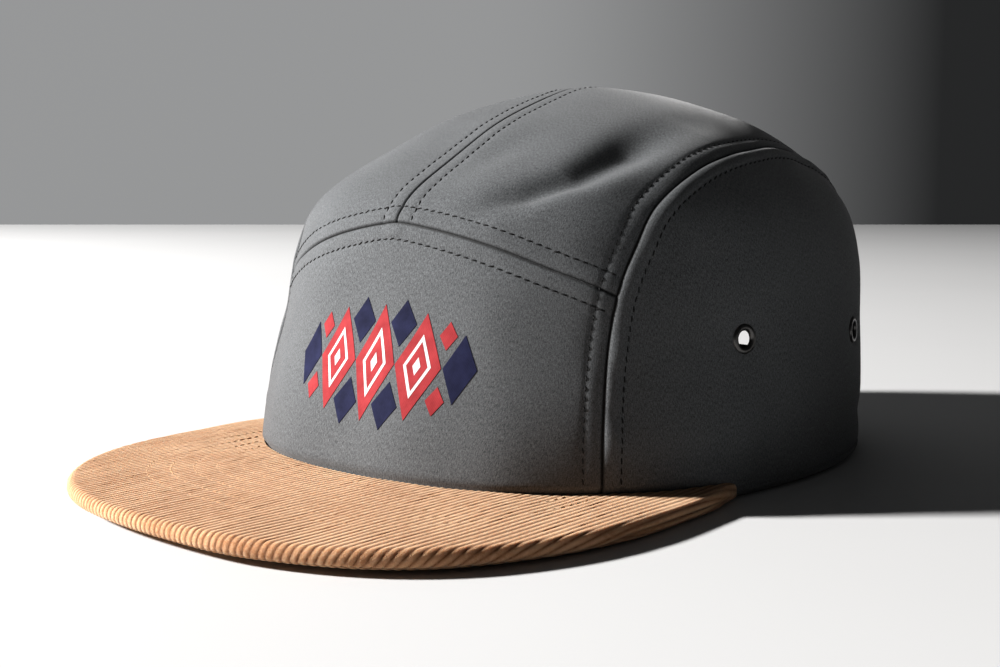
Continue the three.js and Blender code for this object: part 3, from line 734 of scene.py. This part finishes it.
def side_panels():
    foot = rim(RISE[0], FALL[-1], len(TOP))
    grid = panel_grid(foot, TOP, RISE, FALL[::-1], (RIM_STEPS, SEAM_STEPS, SEAM_STEPS, SEAM_STEPS))
    for name, places in (("left", grid), ("right", mirrored(grid))):
        points = crown(places)
        middle = (points[:-1, :-1] + points[1:, 1:]) / 2
        centres = [crown(np.array(place) * [1 if name == "left" else -1, 1]) for place in EYELETS.values()]
        hole = EYELET_BARREL_RADIUS + SEAM_GAP
        keep = np.all([np.linalg.norm(middle - centre, axis=-1) > hole for centre in centres], 0)

        def to_hole(border):
            away = [border - centre for centre in centres]
            first = np.linalg.norm(away[0], axis=-1) < np.linalg.norm(away[1], axis=-1)
            own = np.where(first[:, None], *away)
            return border - own + unit(own) * hole

        panel(f"side_panel_{name}", places, side_lift, canvas, keep, snapped(points, keep, to_hole))


# Swept and turned pieces
def ring_faces(count, sides, closed=False):
    """Quads between rings of points, and the two ends unless the rings close on each other."""
    number = np.arange(count * sides).reshape(count, sides)
    ahead = np.roll(number, -1, 0) if closed else number[1:]
    near = number if closed else number[:-1]
    faces = np.stack([near, np.roll(near, -1, 1), np.roll(ahead, -1, 1), ahead], -1).reshape(-1, 4).tolist()
    return faces if closed else [*faces, number[0, ::-1].tolist(), number[-1].tolist()]


def outward(points, faces):
    """Faces of a closed body, turned so that they point out."""
    volume = 0
    for face in faces:
        first, *rest = points[face]
        for one, two in zip(rest, rest[1:]):
            volume += first @ np.cross(one, two)
    return faces if volume > 0 else [face[::-1] for face in faces]


def opening_hem():
    lining_face, width = -CLOTH_THICKNESS, HEM_WIDTH
    section = np.array([
        (-width, 0.1), (-width, 0.45), (-width + 0.5, 0.62), (-6.9, 0.6), (-HEM_ROW, 0.4), (-5.7, 0.6),
        (-3, 0.75), (-0.8, 0.75), (0.1, 0.5), (0.6, -0.1), (0.7, lining_face / 2), (0.5, lining_face - 0.2),
        (-0.1, lining_face - 0.6), (-1, lining_face - 0.8), (-3, lining_face - 0.75),
        (-width + 0.4, lining_face - 0.6), (-width, lining_face - 0.45), (-width, lining_face - 0.1),
        (-0.5, lining_face - 0.1), (-0.1, lining_face / 2), (-0.5, 0.1),
    ])
    lines = [beside(ARCH, sideways) for sideways in section[:, 0]]
    rings = np.stack([crown(own) + crown_normal(own) * rise for own, rise in zip(lines, section[:, 1])], 1)
    along = np.broadcast_to(lengths(crown(ARCH))[:, None], rings.shape[:2])
    around = np.broadcast_to(lengths(section), rings.shape[:2])
    weave = np.stack([along, around, 0 * along], -1).reshape(-1, 3)
    points = rings.reshape(-1, 3)
    faces = outward(points, ring_faces(*rings.shape[:2]))
    make_piece("opening_hem", points, faces, canvas, {"weave": weave})


def eyelets():
    front, lower, back, top = -EYELET_PRESS, -0.75, -1.1, 0.34
    hole, barrel, outer = EYELET_HOLE_RADIUS, EYELET_BARREL_RADIUS, EYELET_FLANGE_RADIUS
    crest = (hole + outer) / 2
    loop = np.array([
        (hole + 0.12, back + 0.28), (hole + 0.5, back), (outer - 0.5, back + 0.05), (outer - 0.4, lower),
        (barrel, lower), (barrel, front), (outer - 0.12, front), (outer, front + 0.16),
        (outer - 0.1, front + 0.36), (outer - 0.4, top - 0.07), (crest, top), (crest - 0.4, top - 0.06),
        (hole + 0.2, top - 0.3), (hole, top - 0.66),
    ])
    sides = 56
    turns = np.linspace(0, 2 * math.pi, sides, endpoint=False)[:, None]
    radius, rise = loop.T
    local = np.stack(np.broadcast_arrays(radius * np.cos(turns), radius * np.sin(turns), rise), -1)
    local = local.reshape(-1, 3)
    for side, mirror in (("left", 1), ("right", -1)):
        for where, place in EYELETS.items():
            place = np.array(place) * [mirror, 1]
            normal = crown_normal(place)
            across = unit(np.cross([0, 0, 1], normal))
            centre = crown(place)
            centre = centre + normal * (side_lift(centre) + EYELET_PRESS)
            points = local @ np.stack([across, np.cross(normal, across), normal]) + centre
            faces = outward(points, ring_faces(sides, len(loop), True))
            ring = make_piece(f"eyelet_ring_{side}_{where}", points, faces, gunmetal, sharp=40)
            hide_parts(f"eyelet_{side}_{where}")


# Stitching
def longest_run(wanted):
    hold = np.flatnonzero(wanted)
    return max(np.split(hold, np.flatnonzero(np.diff(hold) > 1) + 1), key=len)


def row_on(places, lift_of, wanted=None):
    """Points and normals of a row of stitches on the crown, where wanted holds."""
    points, normals = crown(places), crown_normal(places)
    points = points + normals * np.asarray(lift_of(points))[..., None]
    if wanted is not None:
        longest = longest_run(wanted(points))
        points, normals = points[longest], normals[longest]
    return points, normals


def stitches(name, rows, material, pitch=STITCH_PITCH, radius=THREAD_RADIUS):
    """One piece of all the stitches along some rows of points and normals."""
    rings, sides = 8, 6
    t = np.linspace(0, 1, rings)
    arch = np.sin(math.pi * t) ** 0.6
    around = np.linspace(0, 2 * math.pi, sides, endpoint=False)
    loops, sunk = [], []
    for points, normals in rows:
        along = lengths(points)
        count = max(int(along[-1] / pitch), 1)
        starts = (np.arange(count)[:, None] + 0.5 + THREAD_SHOWN * (t - 0.5)) * along[-1] / count
        middle, normal = resampled(points, along, starts), unit(resampled(normals, along, starts))
        side = np.cross(normal, unit(np.gradient(middle, axis=1)))
        slant = rng.normal(0.1, 0.08, (count, 1)) * (t - 0.5) * pitch
        middle = middle + side * slant[..., None] + normal * ((1.1 * arch - 1) * radius)[:, None]
        twist = around + 2.4 * t[:, None]
        swell = radius * (0.55 + 0.45 * arch[:, None]) * (1 + 0.16 * np.cos(2 * twist))
        level, raised = (swell * np.cos(around))[..., None], (swell * np.sin(around))[..., None]
        ring = side[:, :, None] * level + normal[:, :, None] * raised
        loops.append((middle[:, :, None] + ring).reshape(-1, 3))
        # The sunk value is 1 at both ends of each stitch and 0 at its middle; the thread material paints
        # shade with it.
        sunk.append(np.broadcast_to((1 - arch)[:, None] ** 1.5, (count, rings, sides)).ravel())
    points = np.concatenate(loops)
    number = np.arange(rings * sides).reshape(rings, sides)
    turned = np.roll(number, -1, 1)
    quads = np.stack([number[:-1], number[1:], turned[1:], turned[:-1]], -1).reshape(-1, 4)
    caps = np.array([number[0, [0, 1, 2, 3]], number[0, [0, 3, 4, 5]],
                     number[-1, [3, 2, 1, 0]], number[-1, [5, 4, 3, 0]]])
    one = quads_out(points, np.concatenate([quads, caps]))
    starts = np.arange(0, len(points), rings * sides)[:, None, None]
    faces = (one + starts).reshape(-1, 4).tolist()
    return make_piece(name, points, faces, material, {"sunk": np.concatenate(sunk)}, sharp=80)


def crown_stitching():
    top_of_hem = crown(arch_places(HEM_WIDTH + 1))[..., 2].max()

    def above_brim(points):
        return np.where(points[:, 1] < -40, points[:, 2] > BRIM_TOP + 0.5, points[:, 2] > RIM_HEIGHT + 3)

    def between_sides(points):
        return side_gap(points) > 1.2

    def before_opening(points):
        return (points[:, 1] < 0) | (points[:, 2] > top_of_hem)

    def sunk(points):
        return inner_lift(points) - THREAD_SINK

    rows = []
    for mirror in (np.array([1, 1]), np.array([-1, 1])):
        rows.append(row_on(beside(SIDE_LINE, -SEAM_ROW) * mirror, sunk, above_brim))
        rows.append(row_on(beside(SIDE_LINE, SEAM_ROW) * mirror, side_lift, above_brim))
        rows.append(row_on(beside(CENTRE, CENTRE_ROW) * mirror, inner_lift, before_opening))
    for offset in (-SEAM_ROW, SEAM_ROW):
        rows.append(row_on(beside(FRONT_LINE, offset), inner_lift, between_sides))
    rows.append(row_on(beside(ARCH, -HEM_ROW), lambda points: 0.42))
    inside, normals = row_on(beside(ARCH, -HEM_ROW), lambda points: -CLOTH_THICKNESS - 0.66)
    rows.append((inside, -normals))
    heights = np.linspace(STRAP_FOOT + 1.5, STRAP_FOOT + STRAP_WIDTH - 1.5, 30)
    for mirror in (1, -1):
        for beyond, rise in ((4, 0.65), (8.5, 0.1)):
            places = place_at(np.full(30, mirror * (OPENING_WIDTH / 2 + beyond)), heights, behind=True)
            rows.append(row_on(places, lambda points: inner_lift(points) + rise))
    stitches("crown_stitching", rows, crown_thread)


# Pieces that follow the wall of the crown from inside
LINING_INSET = CLOTH_THICKNESS + 1.5 * SEAM_GAP


def wall_band(name, replaced, turns, heights, thickness, relief, material):
    turn, height = np.meshgrid(turns, heights)
    lift = relief(turn, height)
    outer = wall(turn, height, LINING_INSET - lift)
    inner = wall(turn, height, LINING_INSET + thickness + lift)
    points, faces, used = shell(outer, inner)
    weave = np.stack([lengths(outer, 1), height, 0 * height], -1).reshape(-1, 3)
    piece = make_piece(name, points, faces, material, {"weave": np.tile(weave, (2, 1))[used]})
    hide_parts(replaced)


def sweatband():
    half, middle = OPENING_WIDTH / 2 + STRAP_LAP, STRAP_FOOT + STRAP_WIDTH / 2
    end = turn_at(half + 2 * SEAM_GAP, middle, behind=True)
    turns = np.linspace(-end, end, 420)
    heights = np.concatenate([[0, 0.3, 1], np.linspace(2, SWEATBAND_HEIGHT - 4, 14),
                              SWEATBAND_HEIGHT - np.array([3.2, 2.6, 2, 1.4, 0.8, 0.3, 0])])

    def relief(turn, height):
        ripple = 0.1 * np.sin(turn * 41) * np.sin(height / 5) + 0.08 * np.sin(turn * 97 + 1)
        edge = bump(height, SWEATBAND_HEIGHT, 0.5) + bump(height, 0, 0.5)
        edge = edge + bump(height, SWEATBAND_HEIGHT - SWEATBAND_ROW, 0.6)
        return (ripple - 0.25 * edge) * smooth(0, 3, height) - 0.1

    wall_band("sweatband_cloth", "sweatband", turns, heights, SWEATBAND_THICKNESS, relief, lining)
    rows = []
    for height in (SWEATBAND_HEIGHT - SWEATBAND_ROW, 4):
        points = wall(turns, np.full(len(turns), float(height)), LINING_INSET + SWEATBAND_THICKNESS - 0.1)
        rows.append((points, unit(points * [-1, -1, 0])))
    stitches("sweatband_stitching", rows, crown_thread, 3)


def strap():
    end = turn_at(OPENING_WIDTH / 2 + STRAP_LAP, STRAP_FOOT + STRAP_WIDTH / 2, behind=True)
    turns = np.linspace(end, 2 * math.pi - end, 400)
    heights = STRAP_FOOT + STRAP_WIDTH * (0.5 - 0.5 * np.cos(np.linspace(0, math.pi, 60)))

    def relief(turn, height):
        across = (height - STRAP_FOOT) / STRAP_WIDTH
        ribs = 0.1 * np.sin(across * 2 * math.pi * 9) * np.sin(turn * 260)
        return ribs - 0.45 * (np.abs(2 * across - 1) ** 14) - 0.05

    wall_band("strap_webbing", "rear_strap", turns, heights, STRAP_THICKNESS, relief, webbing)


def buckle():
    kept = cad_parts["strap_buckle"]
    kept.data.materials.clear()
    kept.data.materials.append(gunmetal)
    edges = kept.modifiers.new("rounded", "BEVEL")
    edges.width, edges.segments = 0.35 * MM, 3
    edges.limit_method, edges.angle_limit = "ANGLE", math.radians(40)
    kept.data.shade_smooth()
    kept.data.set_sharp_from_angle(angle=math.radians(30))


# Brim
BRIM_ROUND = BRIM_THICKNESS / 2
BRIM_WIDEST = BRIM_WIDEST_BACK - CROWN_FRONT_REACH
BRIM_AHEAD = BRIM_REACH + BRIM_WIDEST_BACK


def brim_edge(angle):
    across, ahead = np.sin(angle), np.cos(angle)
    reach = np.where(ahead > 0, BRIM_AHEAD, BRIM_TAIL_REACH)
    total = np.abs(across / BRIM_HALF_WIDTH) ** BRIM_SQUARENESS + np.abs(ahead / reach) ** BRIM_SQUARENESS
    radius = total ** (-1 / BRIM_SQUARENESS)
    return np.stack([radius * across, BRIM_WIDEST - radius * ahead], -1)


def brim_inside(x, y):
    """How far a point lies in from the brim's edge, and the way out there."""
    ahead, n = BRIM_WIDEST - y, BRIM_SQUARENESS
    reach = np.where(ahead > 0, BRIM_AHEAD, BRIM_TAIL_REACH)
    p, q = np.abs(x) / BRIM_HALF_WIDTH, np.abs(ahead) / reach
    size = np.maximum((p ** n + q ** n) ** (1 / n), 1e-6)
    slope_x = np.sign(x) * (p / size) ** (n - 1) / BRIM_HALF_WIDTH
    slope_y = -np.sign(ahead) * (q / size) ** (n - 1) / reach
    steep = np.hypot(slope_x, slope_y)
    return np.maximum(1 - size, 0) / steep, slope_x / steep, slope_y / steep


def beside_crown(turn, height):
    return wall(turn, height, -SEAM_GAP)


def brim_tip():
    low, high = math.pi / 2, math.pi
    for _ in range(40):
        middle = (low + high) / 2
        edge = brim_edge(middle)
        inner = beside_crown(math.atan2(edge[0], -edge[1]), BRIM_THICKNESS)
        wide = math.hypot(*edge) - math.hypot(*inner[:2]) > BRIM_TIP_WIDTH
        low, high = (middle, high) if wide else (low, middle)
    return low, edge, inner[:2]


TIP_ANGLE, TIP_OUT, TIP_IN = brim_tip()
BRIM_LINE = brim_edge(np.linspace(-TIP_ANGLE, TIP_ANGLE, 500))
INNER_TURNS = np.linspace(0, math.atan2(TIP_IN[0], -TIP_IN[1]), 200)
INNER_LINE = beside_crown(INNER_TURNS, np.full(200, BRIM_THICKNESS))[:, :2]


def brim_middle(x, y):
    camber = BRIM_CAMBER * (1 - (x / BRIM_HALF_WIDTH) ** 2)
    lift = BRIM_LIFT * (TIP_OUT[1] - y) / (TIP_OUT[1] + CROWN_FRONT_REACH + BRIM_REACH)
    return BRIM_FOOT + BRIM_ROUND + camber + lift


def from_edge(x, y):
    """True distance from the brim's outer edge."""
    edge = np.column_stack([BRIM_LINE, np.zeros(len(BRIM_LINE))])
    return nearest(edge[::2], np.stack([x, y, np.zeros_like(x)], -1))[0]


def brim_top_at(x, y, up):
    return brim_middle(x, y) + up * (BRIM_ROUND - BRIM_THREAD_SINK)


def brim_cover(name, up):
    """A cover in columns along its wales, from the sewn edge over the round to the crown."""
    turns = np.linspace(math.pi / 2, 0.12, 15)[1:]
    half = np.concatenate([np.arange(0, BRIM_HALF_WIDTH - BRIM_ROUND, WALE / 7),
                           BRIM_HALF_WIDTH - BRIM_ROUND * (1 - np.cos(turns))])
    x = np.concatenate([-half[:0:-1], half])[None]
    side = np.abs(x)
    span = (1 - (side / BRIM_HALF_WIDTH) ** BRIM_SQUARENESS) ** (1 / BRIM_SQUARENESS)
    front = BRIM_WIDEST - BRIM_AHEAD * span
    tail = side > TIP_OUT[0]
    inner = np.interp(side, np.append(INNER_LINE[:, 0], TIP_OUT[0]), np.append(INNER_LINE[:, 1], TIP_OUT[1]))
    back = np.where(tail, BRIM_WIDEST + BRIM_TAIL_REACH * span, inner)
    length = back - front
    front_out = np.abs(brim_inside(x, front + 1e-6)[2])
    back_out = np.abs(brim_inside(x, back - 1e-6)[2])
    front_zone = np.minimum(BRIM_ROUND / np.maximum(front_out, 0.01), 0.45 * length)
    back_zone = np.where(tail, np.minimum(BRIM_ROUND / np.maximum(back_out, 0.01), 0.45 * length), 0.5)
    seam = -0.06 - 0.95 * smooth(83.8, 81, side)
    if up > 0:
        turned = np.linspace(0, 1, 7)[:-1, None] * -seam + seam
        rounded = np.broadcast_to(np.linspace(0, math.pi / 2, 10)[:, None], (10, x.size))
        lead = np.concatenate([turned, rounded])
    else:
        lead = seam + np.linspace(0, 1, 12)[:, None] * (-math.pi / 2 - seam)
    middle_rows = 92 if up > 0 else 46
    middle = np.linspace(0, 1, middle_rows + 2)[1:-1, None]
    trail = np.linspace(math.pi / 2, 0, 9)[:, None]
    y = np.concatenate([
        front + front_zone * (1 - np.cos(lead)),
        front + front_zone + (length - front_zone - back_zone) * middle,
        back - back_zone * (1 - np.cos(trail)),
    ])
    x = np.broadcast_to(x, y.shape)
    inside, out_x, out_y = brim_inside(x, y)
    inside = np.minimum(inside, BRIM_ROUND)
    below = np.full(y.shape, up < 0)
    below[: len(lead)] |= lead < 0
    angle = np.arccos(np.clip(1 - inside / BRIM_ROUND, 0, 1)) * np.where(below, -1, 1)
    arc = BRIM_ROUND * (math.pi / 2 - up * angle)
    cloth_x = x + out_x * (arc - (BRIM_ROUND - inside))
    wander = 0.1 * np.sin(y / 17 + 1) + 0.06 * np.sin(y / 5.3 + x)
    wale = np.abs(np.cos(math.pi * (cloth_x + wander) / WALE))
    depth = from_edge(x, y)
    sewn = np.minimum(sum(bump(depth, row, 0.5) for row in BRIM_ROWS), 1)
    tuft = 1 + 0.1 * np.sin(y / 3.1 + np.round(cloth_x / WALE) * 2.3)
    flatter = 1 - 0.5 * np.cos(angle) ** 2
    rib = wale ** WALE_FLATNESS - 0.75
    relief = WALE_HEIGHT * rib * (1 - 0.35 * sewn) * tuft * flatter - 0.06 * sewn
    joint = BRIM_ROUND * np.abs(angle - seam)
    relief = relief - 0.35 * np.exp(-(joint / 0.5) ** 2)
    flat = np.stack([x, y, brim_middle(x, y) + BRIM_ROUND * np.sin(angle)], -1)
    normal = np.stack([out_x * np.cos(angle), out_y * np.cos(angle), np.sin(angle)], -1)
    relief = relief + BRIM_WAVES * waves(flat, BROAD)
    points = flat + normal * relief[..., None]
    points[..., 2] = np.maximum(points[..., 2], 0.02)
    foot = np.stack([x[-1], y[-1], brim_middle(x[-1], y[-1])], -1)
    points = np.concatenate([points, foot[None]])
    # Painted shade: the wale value is lowered at the joint of the two covers, so the material darkens it
    # there, and the closing row at the crown gets 0, the darkest groove colour.
    wale = np.concatenate([wale * (1 - 0.5 * np.exp(-(joint / 0.5) ** 2)), np.zeros((1, x.shape[1]))])
    rows, columns = points.shape[:2]
    number = np.arange(rows * columns).reshape(rows, columns)
    faces = np.stack(cell_corners(number), -1).reshape(-1, 4).tolist()
    faces += np.stack([number[0, :-1], number[-1, :-1], number[-1, 1:], number[0, 1:]], -1).tolist()
    faces += [number[:, 0].tolist(), number[::-1, -1].tolist()]
    points = points.reshape(-1, 3)
    piece = make_piece(name.replace("cover", "corduroy"), points, outward(points, faces), corduroy,
                       {"wale": wale.ravel()}, sharp=70)
    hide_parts(name)


def brim_stitching():
    tangent = unit(np.gradient(BRIM_LINE, axis=0))
    inward = np.stack([-tangent[:, 1], tangent[:, 0]], -1)
    rows = []
    for offset in BRIM_ROWS:
        own = BRIM_LINE + inward * offset
        crown_edge = beside_crown(np.arctan2(own[:, 0], -own[:, 1]), np.full(len(own), BRIM_THICKNESS))
        longest = own[longest_run(np.hypot(*own.T) - np.hypot(crown_edge[:, 0], crown_edge[:, 1]) > 1.5)]
        for up in (1, -1):
            points = np.column_stack([longest, brim_top_at(longest[:, 0], longest[:, 1], up)])
            rows.append((points, np.broadcast_to([0, 0, float(up)], points.shape)))
    stitches("brim_stitching", rows, brim_thread, BRIM_STITCH_PITCH, BRIM_THREAD_RADIUS)


# Printed ornament on the front panel: three framed diamonds, and smaller ones in the gaps and at the ends
PRINT_MIDDLE = (2.6, 34)
DIAMOND_PITCH = 14.4
DIAMOND_HEIGHT = 15
INK_FILM = 0.12
INK_STEP = 0.05


def ink(name, diamonds, material):
    """Thin closed patches on the front panel, each a centre, half width, half height and layer."""
    across, along = np.meshgrid(np.linspace(-1, 1, 15), np.linspace(-1, 1, 15))
    every, order, weaves, count = [], [], [], 0
    for x, z, half_width, half_height, layer in diamonds:
        rise = INK_FILM + INK_STEP * layer
        x_of = PRINT_MIDDLE[0] + x + half_width * (across + along) / 2
        z_of = PRINT_MIDDLE[1] + z + half_height * (across - along) / 2
        places = place_at(x_of, z_of)
        points, normals = crown(places), crown_normal(places)
        lift = inner_lift(points)
        films = [points + normals * (lift + height)[..., None] for height in (rise, rise - INK_FILM)]
        made, faces, used = shell(*films)
        every.append(made)
        order += [[corner + count for corner in face] for face in faces]
        weaves.append(np.tile(np.stack([x_of, z_of, 0 * x_of], -1).reshape(-1, 3), (2, 1))[used])
        count += len(made)
    make_piece(name, np.concatenate(every), order, material, {"weave": np.concatenate(weaves)})


def ornament():
    pitch, tall = DIAMOND_PITCH, DIAMOND_HEIGHT
    large = [(k * pitch, 0.49 * pitch, tall * (1 - 0.1 * abs(k))) for k in (-1, 0, 1)]

    def nested(size, layer):
        return [(x, 0, half_width * size, half_height * size, layer) for x, half_width, half_height in large]

    both = [(across, up) for across in (-1, 1) for up in (-1, 1)]
    ends = [(side * 1.84 * pitch, 0, 0.32 * pitch, 0.57 * tall, 0) for side in (-1, 1)]
    gaps = [(across * pitch / 2, up * 0.7 * tall, 0.3 * pitch, 0.4 * tall, 0) for across, up in both]
    corners = [(across * 1.51 * pitch, up * 0.54 * tall, 0.18 * pitch, 0.24 * tall, 0) for across, up in both]
    ink("print_red", nested(1, 0) + corners + nested(0.46, 2), print_red)
    ink("print_navy", ends + gaps, print_navy)
    ink("print_white", nested(0.6, 1) + nested(0.17, 3), print_white)


# Stage, light and camera
TARGET = Vector((-17.46, 17.64, 33.6)) * MM
DISTANCE = 400.6 * MM
AZIMUTH, ELEVATION = math.radians(40.22), math.radians(6.62)
LENS = 45.65
SENSOR_WIDTH = 36
FLOOR_DEPTH = 2.3
WALL_HEIGHT = 3


def away(azimuth, elevation):
    level = math.cos(elevation)
    return Vector((math.sin(azimuth) * level, -math.cos(azimuth) * level, math.sin(elevation)))


def aimed(made, way, distance):
    """A lamp or the camera, put a distance away from the target and turned to it."""
    made.location = TARGET + way * distance
    made.rotation_mode = "QUATERNION"
    made.rotation_quaternion = way.to_track_quat("Z", "Y")
    return made


def floor():
    material, tree, shader = surface("pale_floor", 0.6)
    tone = blend_colour(tree, noise(tree, 3, 3), grey(0.62), grey(0.66))
    tree.links.new(tone, shader.inputs["Base Color"])
    view = -away(AZIMUTH, 0)
    side = Vector((-view.y, view.x, 0))
    near, half = -3, 5
    corners = [view * depth + side * wide
               for depth, wide in ((near, -half), (FLOOR_DEPTH, -half), (FLOOR_DEPTH, half), (near, half))]
    stage_sheet("floor", corners, material)
    # Painted light: the wall glows with no lamp on it, bright at the left and shaded to near black at the
    # right.
    material, tree, shader = surface("glowing_wall_painted_light", 1)
    way = node(tree, "SeparateXYZ", {"Vector": node(tree, "TexCoord").outputs["Generated"]}).outputs[1]
    steepness, start, softness = 12, -6.1, 0.3
    shade = math_node(tree, "MULTIPLY_ADD", way, steepness, start)
    shade = math_node(tree, "SMOOTH_MAX", shade, 0, softness)
    tone = blend_colour(tree, shade, grey(0.345, -0.01), grey(0.025, -0.03))
    shader.inputs["Base Color"].default_value = grey(0)
    tree.links.new(tone, shader.inputs["Emission Color"])
    shader.inputs["Emission Strength"].default_value = 1
    foot = [view * FLOOR_DEPTH + side * wide for wide in (-half, half)]
    head = [corner + Vector((0, 0, WALL_HEIGHT)) for corner in foot]
    stage_sheet("wall", [foot[0], foot[1], head[1], head[0]], material)


def stage_sheet(name, corners, material):
    mesh = bpy.data.meshes.new(name)
    mesh.from_pydata([tuple(corner) for corner in corners], [], [(0, 1, 2, 3)])
    mesh.materials.append(material)
    made = placed(name, mesh)


def area_light(name, azimuth, elevation, distance, size, power, colour):
    light = bpy.data.lights.new(name, "AREA")
    light.shape, light.size, light.energy, light.color = "DISK", size, power, colour
    aimed(placed(name, light), away(math.radians(azimuth), math.radians(elevation)), distance)


def stage():
    scene = bpy.context.scene
    scene.view_settings.view_transform = "Standard"
    scene.view_settings.gamma = 0.88
    floor()
    world = bpy.data.worlds.new("studio")
    world.use_nodes = True
    world.node_tree.nodes["Background"].inputs["Color"].default_value = grey(0.04, -0.01)
    world.node_tree.nodes["Background"].inputs["Strength"].default_value = 1
    scene.world = world
    area_light("key", azimuth=-51, elevation=24, distance=3, size=0.3, power=318, colour=(1, 0.99, 0.98))
    camera = bpy.data.cameras.new("camera")
    camera.sensor_width, camera.lens = SENSOR_WIDTH, LENS
    scene.camera = aimed(placed("camera", camera), away(AZIMUTH, ELEVATION), DISTANCE)


front_panel()
top_panels()
side_panels()
opening_hem()
eyelets()
crown_stitching()
sweatband()
strap()
buckle()
brim_cover("brim_top_cover", 1)
brim_cover("brim_under_cover", -1)
brim_stitching()
ornament()
stage()
